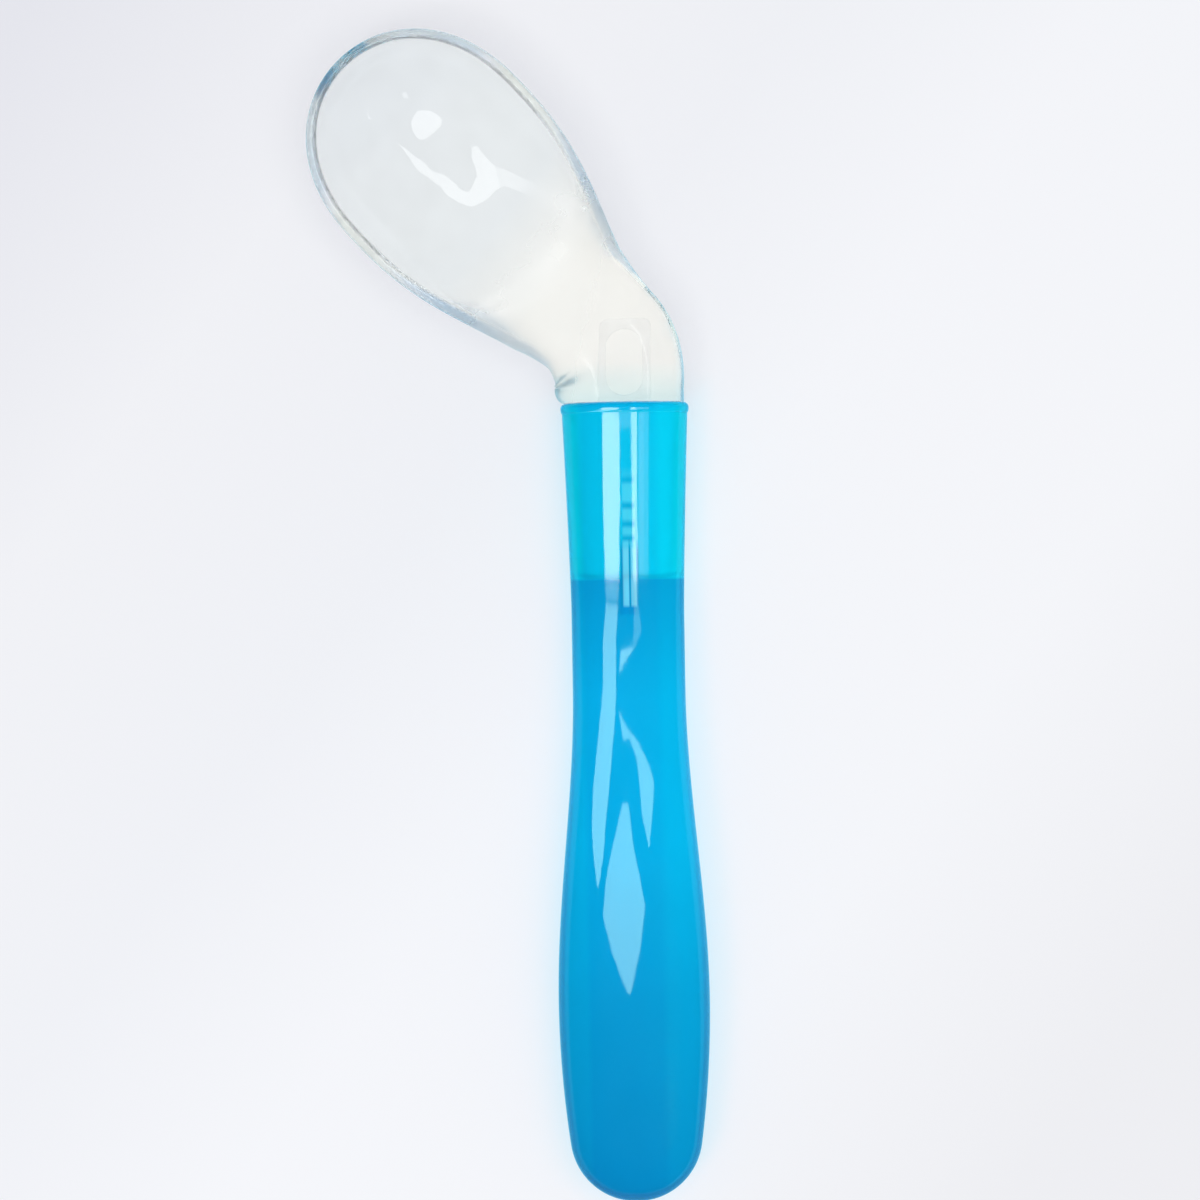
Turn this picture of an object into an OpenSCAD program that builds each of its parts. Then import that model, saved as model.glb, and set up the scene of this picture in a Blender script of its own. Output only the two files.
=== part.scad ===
// Baby feeding spoon: a soft clear silicone bowl, angled to the left, on a translucent blue handle.
// Millimetres. +Y runs from the handle to the bowl and +Z is up. The spoon lies on its back on
// z = 0, with the middle of its plan on the Z axis.

/* [Bowl] */
// Length of the bowl, from its tip to the bend of the neck
bowl_len = 47.7; // [40:0.1:60]
// Width of the bowl over its lips
bowl_w = 28.7; // [24:0.1:36]
// Distance from the tip to the widest place
bowl_widest = 17.5; // [14:0.1:22]
// Depth of the hollow below the middle of the lip
bowl_depth = 7; // [5.5:0.1:9]
// Thickness of the bowl's floor
floor_t = 1.4; // [1:0.1:2]
// Thickness of the rounded lip
lip_t = 1.5; // [1:0.1:2]
// Distance from the tip to the end of the hollow, at the neck
hollow_end = 39.5; // [36:0.1:43]
// Rise of the lip towards the tip
tip_rise = 0.8; // [0:0.1:2]

/* [Neck] */
// Angle between the handle and the bowl
bend_angle = 42.5; // [20:0.5:60]
// Height of the bend's corner above the mouth of the handle
bend_at = 5.4; // [5:0.1:9]
// Radius inside the bend
bend_r = 0.5; // [0.3:0.1:3]
// How far the neck bulges inside the bend, just above the mouth of the handle
neck_bulge = 1.25; // [0.5:0.05:1.6]
// Width of the neck at the mouth of the handle
neck_w = 14.9; // [12:0.1:15.5]
// Thickness of the neck at the mouth of the handle
neck_t = 8.9; // [7:0.1:9.6]
// Width of the neck where it meets the bowl
throat_w = 15.7; // [13:0.1:19]
// Thickness of the neck where it meets the bowl
throat_t = 6.8; // [5.5:0.1:8.5]

/* [Handle] */
// Length of the handle
handle_len = 99.7; // [90:0.1:125]
// Width at the collar, below the bead
collar_w = 15.8; // [14.5:0.1:19]
// Thickness at the collar, below the bead
collar_t = 9.6; // [8.5:0.1:12]
// Width at the waist
waist_w = 14.1; // [12:0.1:17]
// Thickness at the thinnest place
waist_t = 8.7; // [7.8:0.1:9.4]
// Width of the belly
belly_w = 18.9; // [16:0.1:24]
// Thickness of the belly
belly_t = 11.2; // [10.4:0.1:14]
// Distance from the mouth to where the collar's taper ends, seen from above
taper_end = 26; // [20:0.5:30]
// Distance from the mouth to where the belly starts to widen
waist_end = 36; // [30:0.5:45]
// Distance from the mouth to the thinnest place, where the belly starts to thicken
thinnest_at = 18; // [12:0.5:24]
// Distance from the handle's end to the fullest place of the belly
belly_back = 25.2; // [20:0.1:32]
// How far the bead round the mouth stands proud
bead_out = 0.15; // [0.1:0.05:0.5]
// Height of the bead
bead_h = 1.3; // [1.1:0.1:3]
// Radius of the mouth's outer edge
mouth_r = 0.7; // [0.3:0.1:0.9]
// Wall of the socket
socket_wall = 1.5; // [1:0.1:2]
// Depth of the socket
socket_depth = 22; // [16:0.5:26]
// Radius of the socket's lower edge
socket_r = 1.2; // [0.5:0.1:1.6]

/* [Core] */
// Width of the tongue
tongue_w = 6.1; // [5:0.1:7.5]
// Thickness of the tongue
tongue_t = 2.6; // [1.8:0.1:3.2]
// Reach of the tongue above the mouth of the handle
tongue_reach = 10.4; // [8:0.1:12]
// Depth of the tongue below the mouth of the handle
tongue_depth = 14; // [8:0.5:15]
// Radius of the tongue's corners
tongue_r = 1.1; // [0.5:0.1:2]
// Width of the window that the silicone flows through
window_w = 4.3; // [2.5:0.1:4.6]
// Length of the window
window_len = 8.2; // [5:0.1:8.6]
// Web of the tongue above the window
window_web = 1.3; // [0.8:0.1:2]
// Thickness of the stem below the tongue
stem_d = 1.8; // [1.4:0.1:2.2]
// Diameter over the barbs
barb_d = 2.6; // [2.4:0.1:3.2]
// Distance between barbs
barb_pitch = 0.8; // [0.6:0.1:1.2]
// Depth of the barbed tail below the socket
tail_len = 4.4; // [3.8:0.1:6]

/* [Fits] */
// Gap between the plug and the socket
plug_gap = 0.08; // [0.04:0.01:0.15]
// Gap between the neck and the mouth of the handle
seat_gap = 0.04; // [0.02:0.01:0.1]
// Gap between the core and what is moulded or pressed round it
core_gap = 0.03; // [0.01:0.01:0.06]

/* [Hidden] */

barb_count = 3;
handle_sides = 48;
handle_steps = 30;
end_steps = 9;
edge_steps = 4;
bowl_steps = 13;
throat_steps = 16;
bend_steps = 9;
lip_sides = 6;
hollow_sides = 8;

// Shape factors, as powers and as shares of the size that each follows
squareness = 2.35;
egg_power = 2.3;
shoulder_power = 1.3;
taper_power = 1.25;
thicken_power = 0.75;
least_fall_power = 1.2;
hollow_power = 0.72;
under_power = 0.62;
end_round_share = 0.875;
end_thin_share = 0.8;
lean_angle = 8;
lip_fan_share = 0.6;
throat_start_share = 0.66;
swell_share = 0.06;

// The places across the bowl: the angle at which the lip ends, and how closely its inner edge is found
lip_angle = 40;
edge_search_steps = 12;
least_share = 1e-9;

// Half sizes, measured from the middle of each section
bowl_half = bowl_w / 2;
neck_half = neck_w / 2;
throat_half = throat_w / 2;
lip_r = lip_t / 2;
hollow_half = bowl_half - lip_t;

// Heights: the bead, the belly and the floor of the bowl all touch z = 0
axis_z = collar_t / 2 + bead_out;
belly_z = belly_t / 2;
lip_z = bowl_depth + floor_t;
throat_z = lip_z + lip_r - throat_t / 2;

function mix(a, b, t) = a + (b - a) * t;
function clamp(t) = max(0, min(1, t));
function smooth(t) = let (u = clamp(t)) u * u * (3 - 2 * u);
function signed_pow(v, p) = sign(v) * pow(abs(v), p);

// A closed ring of points round the Y axis: a rounded oblong of half width a and half thickness b
function oval(y, z, a, b, sides) = [
    for (i = [0 : sides - 1])
        let (t = 360 * i / sides)
        [a * signed_pow(cos(t), 2 / squareness), y, z + b * signed_pow(sin(t), 2 / squareness)]
];
function round_ring(y, z, r, sides) = [
    for (i = [0 : sides - 1]) let (t = 360 * i / sides) [r * cos(t), y, z + r * sin(t)]
];

// A closed skin over rings of equal length. It ends in a flat cap, and starts in one too or, where an
// edge is given, in that line of points, to which the top and the underside of the first ring both run.
module skin(rings, edge = []) {
    n = len(rings[0]);
    last = len(rings) - 1;
    tip = len(edge);
    walls = [
        for (k = [0 : last - 1], i = [0 : n - 1])
            let (j = (i + 1) % n, low = tip + k * n, high = tip + (k + 1) * n)
            each [[low + i, low + j, high + i], [low + j, high + j, high + i]]
    ];
    start = tip == 0 ? [[for (i = [n - 1 : -1 : 0]) i]] : [
        for (i = [0 : n - 1])
            let (j = (i + 1) % n, a = i < tip ? i : n - i, b = j < tip ? j : n - j)
            each [[a, b, tip + i], [b, tip + j, tip + i]]
    ];
    finish = [for (i = [0 : n - 1]) tip + last * n + i];
    polyhedron(
        points = concat(edge, [for (r = rings) each r]),
        faces = concat(start, walls, [finish]),
        convexity = 8
    );
}

// Handle: every size is a function of the distance d below the mouth
belly_at = handle_len - belly_back;
end_r = end_round_share * belly_w / 2;
round_at = handle_len - end_r * (1 - sin(lean_angle));
round_half = end_r * cos(lean_angle);
round_b = end_thin_share * belly_t / 2;
fall_len = round_at - belly_at;

// The power with which a side falls from the belly so that it meets the round end with no corner
function fall_power(belly, tail) =
    max(least_fall_power, tail * tan(lean_angle) * fall_len / round_half / (belly - tail));
// 0 where the handle starts to swell, and 1 at the belly
function swelling(d, start, power) = smooth(pow(clamp((d - start) / (belly_at - start)), power));
function side(d, taper, start, power, collar, waist, belly, tail) =
    d < start ? mix(collar, waist, 1 - pow(1 - clamp(d / taper), taper_power))
    : d < belly_at ? mix(waist, belly, swelling(d, start, power))
    : mix(belly, tail, pow(clamp((d - belly_at) / fall_len), fall_power(belly, tail)));
function handle_a(d) = side(d, taper_end, waist_end, 1, collar_w / 2, waist_w / 2, belly_w / 2, round_half);
function handle_b(d) =
    side(d, thinnest_at, thinnest_at, thicken_power, collar_t / 2, waist_t / 2, belly_t / 2, round_b);
function handle_z(d) = mix(axis_z, belly_z, swelling(d, socket_depth, thicken_power));
function handle_ring(d, grow) = oval(-d, handle_z(d), handle_a(d) + grow, handle_b(d) + grow, handle_sides);
function bead(d) = bead_out * sqrt(max(0, 1 - pow(2 * d / bead_h - 1, 2)));

last_angle = 87;
end_rings = [
    for (k = [0 : end_steps])
        let (t = mix(last_angle, lean_angle, k / end_steps), s = cos(t) / cos(lean_angle))
        oval(-(handle_len - end_r * (1 - sin(t))), belly_z, round_half * s, round_b * s, handle_sides)
];
side_rings = [
    for (k = [1 : handle_steps]) handle_ring(mix(round_at, bead_h, k / handle_steps), 0)
];
bead_rings = [
    for (k = [1 : edge_steps - 1])
        let (d = mix(bead_h, max(mouth_r, bead_h / 2), pow(k / edge_steps, 2)))
        handle_ring(d, bead(d))
];
mouth_rings = [
    for (k = [0 : edge_steps])
        let (t = 90 * k / edge_steps)
        handle_ring(mouth_r * (1 - sin(t)), bead_out - mouth_r * (1 - cos(t)))
];
socket_rings = [
    for (k = [0 : edge_steps])
        handle_ring(mix(0, socket_depth - socket_r, k / edge_steps), -socket_wall)
];
socket_foot_rings = [
    for (k = [1 : edge_steps])
        let (t = 90 * k / edge_steps)
        handle_ring(socket_depth - socket_r * (1 - sin(t)), -socket_wall - socket_r * (1 - cos(t)))
];
tail_hole_r = barb_d / 2 + core_gap;
tail_hole_end = socket_depth + tail_len + 2 * core_gap;
tail_rings = [
    round_ring(-socket_depth, axis_z, tail_hole_r, handle_sides),
    round_ring(-tail_hole_end, axis_z, tail_hole_r, handle_sides)
];
handle_rings = concat(
    end_rings, side_rings, bead_rings, mouth_rings, socket_rings, socket_foot_rings, tail_rings
);

// Head: its line runs from the tip of the bowl, round the bend, and down into the socket.
// s is the distance along that line from the tip.
bend_line_r = max(throat_half, neck_half + neck_bulge) + bend_r;
bend_line = bend_line_r * bend_angle * PI / 180;
bend_reach = bend_line_r * tan(bend_angle / 2);
mouth_s = bowl_len + bend_line + bend_at - bend_reach;
throat_start = throat_start_share * bowl_len;

function turned(s) = bend_angle * clamp(1 - (s - bowl_len) / bend_line);
function line_point(s) =
    let (t = turned(s), straight = max(0, bowl_len - s), y0 = bend_at - bend_reach)
    s > bowl_len + bend_line ? [0, y0 - (s - bowl_len - bend_line)]
    : [
        -bend_line_r * (1 - cos(t)) - straight * sin(bend_angle),
        y0 + bend_line_r * sin(t) + straight * cos(bend_angle)
    ];
function swell(s) = swell_share * throat_half * (1 - pow(clamp(abs(s - bowl_len) / bend_line), 2));
// The bulge inside the bend grows as the neck starts to turn, and rounds in to the mouth of the handle
function bulge(s) =
    let (below = s - bowl_len - bend_line)
    neck_bulge * (below > 0 ? sqrt(max(0, 1 - pow(below / (bend_at - bend_reach), 2)))
        : smooth((s - bowl_len + 2 * neck_bulge) / (3 * neck_bulge)));

// Half width of the bowl's outline and of its hollow, round the same widest place
function front_share(s, start) = 1 - pow(clamp((bowl_widest - s) / (bowl_widest - start)), egg_power);
function rear_half(s, half, throat) =
    mix(half, throat, smooth(pow(clamp((s - bowl_widest) / (bowl_len - bowl_widest)), shoulder_power)));
function outer_half(s) =
    s < bowl_widest ? bowl_half * sqrt(front_share(s, 0))
    : mix(rear_half(s, bowl_half, throat_half), neck_half, smooth((s - bowl_len) / bend_line));
function inner_half(s) =
    s < bowl_widest ? hollow_half * sqrt(front_share(s, lip_t))
    : rear_half(s, bowl_half, throat_half) - lip_t;

// 0 in the bowl and 1 in the neck
function neckness(s) = smooth((s - throat_start) / (bowl_len - throat_start));
function hollow_depth(s) =
    s < bowl_widest ? bowl_depth * pow(front_share(s, lip_t), hollow_power)
    : bowl_depth * (1 - smooth(pow(clamp((s - bowl_widest) / (hollow_end - bowl_widest)), shoulder_power)));
function under_depth(s) =
    (bowl_depth + floor_t) * (s < bowl_widest ? pow(front_share(s, 0), under_power) : 1);
function lip_level(s) = lip_z + tip_rise * pow(clamp((bowl_widest - s) / bowl_widest), 2);
function neck_z(s) = mix(throat_z, axis_z, smooth((s - bowl_len) / bend_line));
function neck_b(s) = mix(throat_t, neck_t, smooth((s - bowl_len) / bend_line)) / 2;
function dome(v) = pow(1 - pow(min(1, abs(v)), squareness), 1 / squareness);

// Height of the lip's round top, from its outer edge to its inner edge
function past_hollow(s, w) =
    s > bowl_widest ? abs(w) / inner_half(s) - 1
    : pow(w / hollow_half, 2) - 1 + pow((bowl_widest - s) / (bowl_widest - lip_t), egg_power);
function lip_top(s, w) =
    let (
        outside = front_share(s, 0) - pow(w / bowl_half, 2),
        inside = past_hollow(s, w),
        across = s < bowl_widest ? outside / max(outside + inside, least_share)
            : (outer_half(s) - abs(w)) / lip_t
    )
    lip_t * sqrt(max(0, across * (1 - across)));
function bowl_top(s, w) =
    abs(w) < inner_half(s)
    ? lip_level(s) - hollow_depth(s) * pow(1 - pow(w / inner_half(s), 2), hollow_power)
    : lip_level(s) + lip_top(s, w);
function bowl_under(s, w) =
    lip_level(s) - under_depth(s) * pow(max(0, 1 - pow(w / outer_half(s), 2)), under_power);
function top_z(s, w) = mix(bowl_top(s, w), neck_z(s) + neck_b(s) * dome(w / outer_half(s)), neckness(s));
function under_z(s, w) = mix(bowl_under(s, w), neck_z(s) - neck_b(s) * dome(w / outer_half(s)), neckness(s));

// A section crosses the bowl along a line that starts at m on the bowl's line and curls forward at
// its ends. The first one lies along the front edge itself, so the rounded lip has no corner there.
function curl(m) = pow(1 - clamp(m / bowl_widest), 2);
function crossing(m) = m < bowl_widest ? bowl_widest / (2 - m / bowl_widest) : m;
function front_edge(w) = bowl_widest * (1 - pow(max(0, 1 - pow(w / bowl_half, 2)), 1 / egg_power));
function section_half(m) = outer_half(crossing(m));
function section_s(m, w) = curl(m) > 0 ? m + curl(m) * front_edge(w) : m;

// Places across a section, as shares of its half width: the lip, the hollow, then underneath
half_top_turns = [
    for (i = [1 : lip_sides]) lip_angle * i / lip_sides,
    for (i = [1 : hollow_sides]) mix(lip_angle, 90, i / hollow_sides)
];
function inner_share(m, low, high, search_steps) =
    search_steps < 1 ? low
    : let (mid = (low + high) / 2, w = mid * section_half(m))
        past_hollow(section_s(m, w), w) < 0 ? inner_share(m, mid, high, search_steps - 1)
        : inner_share(m, low, mid, search_steps - 1);
function lip_start(m) = max(lip_fan_share, inner_share(m, 0, 1, edge_search_steps));
function half_top_places(m) = [
    for (i = [1 : lip_sides]) 1 - (1 - lip_start(m)) * (1 - cos(180 * i / lip_sides)) / 2,
    for (i = [1 : hollow_sides]) lip_start(m) * cos(90 * i / hollow_sides)
];
function top_places(m) =
    let (
        bowl = half_top_places(m),
        half = [
            for (i = [0 : len(bowl) - 1])
                mix(bowl[i], signed_pow(cos(half_top_turns[i]), 2 / squareness), neckness(m))
        ]
    )
    concat([1], half, [for (i = [len(half) - 2 : -1 : 0]) -half[i]], [-1]);
top_count = 2 * (lip_sides + hollow_sides) + 1;
under_sides = top_count - 1;
under_places = [for (i = [1 : under_sides - 1]) -signed_pow(cos(180 * i / under_sides), 2 / squareness)];

// The rings start at the left side, so that the skin's faces point outwards from tip to plug
function across(s, w, z) =
    let (
        p = line_point(s),
        t = turned(s),
        v = swell(s) - w - bulge(s) * pow(max(0, w) / max(outer_half(s), least_share), 2)
    )
    [p[0] + v * cos(t), p[1] + v * sin(t), z];
front_chain = [
    for (p = top_places(0))
        let (w = p * section_half(0))
        across(front_edge(w), w, lip_level(front_edge(w)))
];
function head_ring(m) = concat(
    [for (p = top_places(m)) let (w = p * section_half(m), s = section_s(m, w)) across(s, w, top_z(s, w))],
    [for (p = under_places) let (w = p * section_half(m), s = section_s(m, w)) across(s, w, under_z(s, w))]
);
head_turns = concat(
    [0], half_top_turns, [for (i = [len(half_top_turns) - 2 : -1 : 0]) 180 - half_top_turns[i]],
    [180], [for (i = [1 : under_sides - 1]) 180 + 180 * i / under_sides]
);
function plug_ring(d, shrink) =
    let (a = handle_a(d) - socket_wall - plug_gap - shrink, b = handle_b(d) - socket_wall - plug_gap - shrink)
    [
        for (t = head_turns)
            [-a * signed_pow(cos(t), 2 / squareness), -d, axis_z + b * signed_pow(sin(t), 2 / squareness)]
    ];

lip_shares = [0.02, 0.08, 0.2, 0.36, 0.54, 0.72, 0.88, 1];
plug_end = socket_depth - plug_gap;
lip_stations = [for (u = lip_shares) u * lip_t];
bowl_stations = [for (k = [1 : bowl_steps]) mix(lip_t, throat_start, pow(k / bowl_steps, shoulder_power))];
throat_stations = [for (k = [1 : throat_steps]) mix(throat_start, bowl_len, k / throat_steps)];
bend_stations = [for (k = [1 : bend_steps]) mix(bowl_len, bowl_len + bend_line, k / bend_steps)];
seat_stations = [
    for (k = [1 : edge_steps]) mix(bowl_len + bend_line, mouth_s - seat_gap, sin(90 * k / edge_steps))
];
plug_rings = concat(
    [for (k = [0 : edge_steps]) plug_ring(mix(-seat_gap, plug_end - socket_r, k / edge_steps), 0)],
    [
        for (k = [1 : edge_steps])
            let (t = 90 * k / edge_steps)
            plug_ring(plug_end - socket_r * (1 - sin(t)), socket_r * (1 - cos(t)))
    ]
);
head_rings = concat(
    [
        for (m = concat(lip_stations, bowl_stations, throat_stations, bend_stations, seat_stations))
            head_ring(m)
    ],
    plug_rings
);

// Core: a flat tongue with a window, a stem through the plug and a barbed tail
window_low = tongue_reach - window_web - window_len;
stem_top = tongue_depth + tongue_w / 2;
tail_end = socket_depth + tail_len;

module tongue_outline(grow) {
    hull() {
        for (x = [-1, 1]) {
            translate([x * (tongue_w / 2 - tongue_r), tongue_reach - tongue_r])
                circle(r = tongue_r + grow, $fn = 32);
        }
        translate([-tongue_w / 2 - grow, -tongue_depth])
            square([tongue_w + 2 * grow, tongue_depth]);
        translate([-stem_d / 2 - grow, -stem_top])
            square([stem_d + 2 * grow, tongue_w / 2]);
    }
}

module window_outline(grow) {
    window_r = window_w / 2;
    hull() {
        for (y = [window_low + window_r, window_low + window_len - window_r]) {
            translate([0, y]) circle(r = window_r - grow, $fn = 32);
        }
    }
}

// The barbs point back towards the mouth, so that the tail can't be drawn out of the handle
module tail(grow) {
    barb_points = [
        for (k = [barb_count - 1 : -1 : 0])
            each [
                [barb_d / 2 + grow, tail_end - (k + 1) * barb_pitch + barb_pitch / 4],
                [stem_d / 2 + grow, tail_end - k * barb_pitch]
            ]
    ];
    rotate([90, 0, 0]) rotate_extrude($fn = 48) {
        polygon(concat(
            [[0, tongue_depth], [stem_d / 2 + grow, tongue_depth],
             [stem_d / 2 + grow, tail_end - barb_count * barb_pitch + barb_pitch / 4]],
            barb_points,
            [[0, tail_end]]
        ));
    }
}

module core_form(grow) {
    translate([0, 0, axis_z]) {
        linear_extrude(tongue_t + 2 * grow, center = true) difference() {
            tongue_outline(grow);
            window_outline(grow);
        }
        tail(grow);
    }
}

// The middle of the plan, from the outermost points of the two outer pieces
all_points = [for (r = concat(head_rings, handle_rings)) each r];
low_x = min([for (p = all_points) p[0]]);
high_x = max([for (p = all_points) p[0]]);
low_y = min([for (p = all_points) p[1]]);
high_y = max([for (p = all_points) p[1]]);
module placed() {
    translate([-(low_x + high_x) / 2, -(low_y + high_y) / 2, 0]) children();
}

module silicone_head() {
    color([0.93, 0.95, 0.96, 0.5]) placed() difference() {
        skin(head_rings, front_chain);
        core_form(core_gap);
    }
}

module core_insert() {
    color([0.9, 0.9, 0.86, 0.7]) placed() core_form(0);
}

module handle() {
    color([0, 0.68, 0.89]) placed() skin(handle_rings);
}

silicone_head();
core_insert();
handle();
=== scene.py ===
"""Baby spoon: a clear silicone head on a clear core, locked in a translucent blue handle.

Metres. +Y runs from the handle to the bowl and +Z is up. The spoon lies on its back on a pale table.
"""

import math

import bmesh
import bpy
from mathutils import Matrix, Vector
from mathutils.bvhtree import BVHTree
from mathutils.interpolate import poly_3d_calc


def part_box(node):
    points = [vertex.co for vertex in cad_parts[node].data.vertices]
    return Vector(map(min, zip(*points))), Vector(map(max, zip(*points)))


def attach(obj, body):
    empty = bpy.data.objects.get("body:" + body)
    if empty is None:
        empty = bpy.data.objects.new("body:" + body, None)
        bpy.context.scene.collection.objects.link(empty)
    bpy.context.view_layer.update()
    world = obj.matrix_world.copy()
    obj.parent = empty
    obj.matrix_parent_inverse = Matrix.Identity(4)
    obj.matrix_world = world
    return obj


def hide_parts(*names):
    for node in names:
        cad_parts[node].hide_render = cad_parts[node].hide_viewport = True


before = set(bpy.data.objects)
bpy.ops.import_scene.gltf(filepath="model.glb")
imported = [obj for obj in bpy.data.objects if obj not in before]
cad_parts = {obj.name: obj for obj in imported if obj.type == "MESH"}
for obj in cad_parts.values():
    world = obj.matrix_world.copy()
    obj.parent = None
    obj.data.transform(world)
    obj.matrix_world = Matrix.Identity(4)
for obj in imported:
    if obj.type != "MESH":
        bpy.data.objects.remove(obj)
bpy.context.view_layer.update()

MM = 0.001
TINY = 1e-9

# Bowl, with distances measured from its tip
BOWL_LEN = 47.7 * MM
BOWL_HALF = 28.7 * MM / 2
BOWL_WIDEST = 17.5 * MM
BOWL_DEPTH = 7 * MM
FLOOR_T = 1.4 * MM
LIP_T = 1.5 * MM
HOLLOW_END = 39.5 * MM
TIP_RISE = 0.8 * MM
EGG_POWER = 2.3
SHOULDER_POWER = 1.3
HOLLOW_POWER = 0.72
UNDER_POWER = 0.62
THROAT_START = 0.66 * BOWL_LEN
LEAST_HOLLOW_SHARE = 0.6

# Neck
BEND_ANGLE = math.radians(42.5)
BEND_AT = 5.4 * MM
BEND_R = 0.5 * MM
NECK_BULGE = 1.25 * MM
NECK_HALF = 14.9 * MM / 2
NECK_T = 8.9 * MM
THROAT_HALF = 15.7 * MM / 2
THROAT_T = 6.8 * MM
SWELL = 0.06 * THROAT_HALF

# Handle, with distances measured from its mouth
COLLAR_W = 15.8 * MM
COLLAR_T = 9.6 * MM
WAIST_W = 14.1 * MM
WAIST_T = 8.7 * MM
BELLY_W = 18.9 * MM
BELLY_T = 11.2 * MM
TAPER_END = 26 * MM
WAIST_END = 36 * MM
THINNEST_AT = 18 * MM
BELLY_BACK = 25.2 * MM
BEAD_OUT = 0.15 * MM
BEAD_H = 1.3 * MM
MOUTH_R = 0.7 * MM
SOCKET_WALL = 1.5 * MM
SOCKET_DEPTH = 22 * MM
SOCKET_R = 1.2 * MM
TAPER_POWER = 1.25
THICKEN_POWER = 0.75
LEAST_FALL_POWER = 1.2
END_LEAN = math.radians(8)
END_SHARE = 0.875
ROUND_SHARE = 0.8
SQUARENESS = 2.35

# Core
TONGUE_W = 6.1 * MM
TONGUE_T = 2.6 * MM
TONGUE_REACH = 10.4 * MM
TONGUE_DEPTH = 14 * MM
TONGUE_R = 1.1 * MM
WINDOW_W = 4.3 * MM
WINDOW_LEN = 8.2 * MM
WINDOW_WEB = 1.3 * MM
STEM_D = 1.8 * MM
BARB_D = 2.6 * MM
BARB_PITCH = 0.8 * MM
BARBS = 3
TAIL_LEN = 4.4 * MM
CORE_EDGE_R = 0.25 * MM

# Fits
PLUG_GAP = 0.08 * MM
SEAT_GAP = 0.04 * MM
CORE_GAP = 0.03 * MM

# How finely the pieces are drawn
HANDLE_SIDES = 96
HANDLE_STEPS = 90
HANDLE_END_STEPS = 24
BEAD_STEPS = 10
ROUND_STEPS = 8
SOCKET_STEPS = 20
HEAD_LIP_SIDES = 14
HEAD_HOLLOW_SIDES = 22
HEAD_LIP_STEPS = 14
HEAD_HOLLOW_STEPS = 44
HEAD_THROAT_STEPS = 40
HEAD_BEND_STEPS = 24
HEAD_FOOT_STEPS = 10
LIP_SEARCHES = 14
CORE_CORNER_STEPS = 7
CORE_TAPER_STEPS = 5
CORE_FOOT_STEPS = 6
WINDOW_STEPS = 16
TAIL_SIDES = 32
CORE_EDGE_STEPS = 3
WELD = 0.0005 * MM
CREASE = 35.0
CORE_CREASE = 30.0
CORE_SHARP = 60.0

handle_low, handle_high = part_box("handle")
AXIS_X = (handle_low.x + handle_high.x) / 2
MOUTH_Y = handle_high.y
HANDLE_LEN = handle_high.y - handle_low.y
AXIS_Z = COLLAR_T / 2 + BEAD_OUT
BELLY_Z = BELLY_T / 2
LIP_Z = BOWL_DEPTH + FLOOR_T
HOLLOW_HALF = BOWL_HALF - LIP_T
THROAT_Z = LIP_Z + LIP_T / 2 - THROAT_T / 2


def mix(a, b, t):
    return a + (b - a) * t


def clamp(t):
    return max(0.0, min(1.0, t))


def smooth(t):
    t = clamp(t)
    return t * t * (3 - 2 * t)


def signed_power(value, power):
    return math.copysign(abs(value) ** power, value)


def steps(start, end, count):
    """The ends of count equal steps from start to end, without the start."""
    return [mix(start, end, k / count) for k in range(1, count + 1)]


def oval(y, z, half_w, half_t, turns):
    """A rounded oblong section across the handle's axis, y up from the mouth."""
    return [
        Vector((
            AXIS_X + half_w * signed_power(math.cos(t), 2 / SQUARENESS),
            MOUTH_Y + y,
            z + half_t * signed_power(math.sin(t), 2 / SQUARENESS),
        ))
        for t in turns
    ]


def even_turns(sides):
    return [math.tau * k / sides for k in range(sides)]


def loft(mesh, sections):
    """Draws a circle out through the sections, which all have as many points."""
    turn = mesh.verts.layers.int.get("turn") or mesh.verts.layers.int.new("turn")
    ring = bmesh.ops.create_circle(mesh, cap_ends=False, segments=len(sections[0]), radius=1.0)["verts"]
    for place, vert in enumerate(ring):
        vert[turn] = place
        vert.co = sections[0][place]
    edges = list(dict.fromkeys(edge for vert in ring for edge in vert.link_edges))
    for section in sections[1:]:
        drawn = bmesh.ops.extrude_edge_only(mesh, edges=edges)["geom"]
        ring = {part for part in drawn if isinstance(part, bmesh.types.BMVert)}
        for vert in ring:
            vert.co = section[vert[turn]]
        edges = [
            part for part in drawn
            if isinstance(part, bmesh.types.BMEdge) and set(part.verts) <= ring
        ]


def finished(name, mesh, crease=CREASE):
    """Closes and smooths a mesh, points its faces outwards and makes it a piece of the spoon."""
    bmesh.ops.remove_doubles(mesh, verts=mesh.verts, dist=WELD)
    open_edges = [edge for edge in mesh.edges if edge.is_boundary]
    if open_edges:
        bmesh.ops.holes_fill(mesh, edges=open_edges)
    bmesh.ops.recalc_face_normals(mesh, faces=mesh.faces)
    for face in mesh.faces:
        face.smooth = True
    for edge in mesh.edges:
        edge.smooth = edge.calc_face_angle(0.0) < math.radians(crease)
    data = bpy.data.meshes.new(name)
    mesh.to_mesh(data)
    mesh.free()
    piece = bpy.data.objects.new(name, data)
    bpy.context.scene.collection.objects.link(piece)
    return piece


# Handle
BELLY_AT = HANDLE_LEN - BELLY_BACK
END_R = END_SHARE * BELLY_W / 2
ROUND_AT = HANDLE_LEN - END_R * (1 - math.sin(END_LEAN))
ROUND_HALF = END_R * math.cos(END_LEAN)
ROUND_T = ROUND_SHARE * BELLY_T / 2
FALL_LEN = ROUND_AT - BELLY_AT


def swelling(d, start, power):
    """0 where the handle starts to swell, and 1 at the belly."""
    return smooth(clamp((d - start) / (BELLY_AT - start)) ** power)


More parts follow.
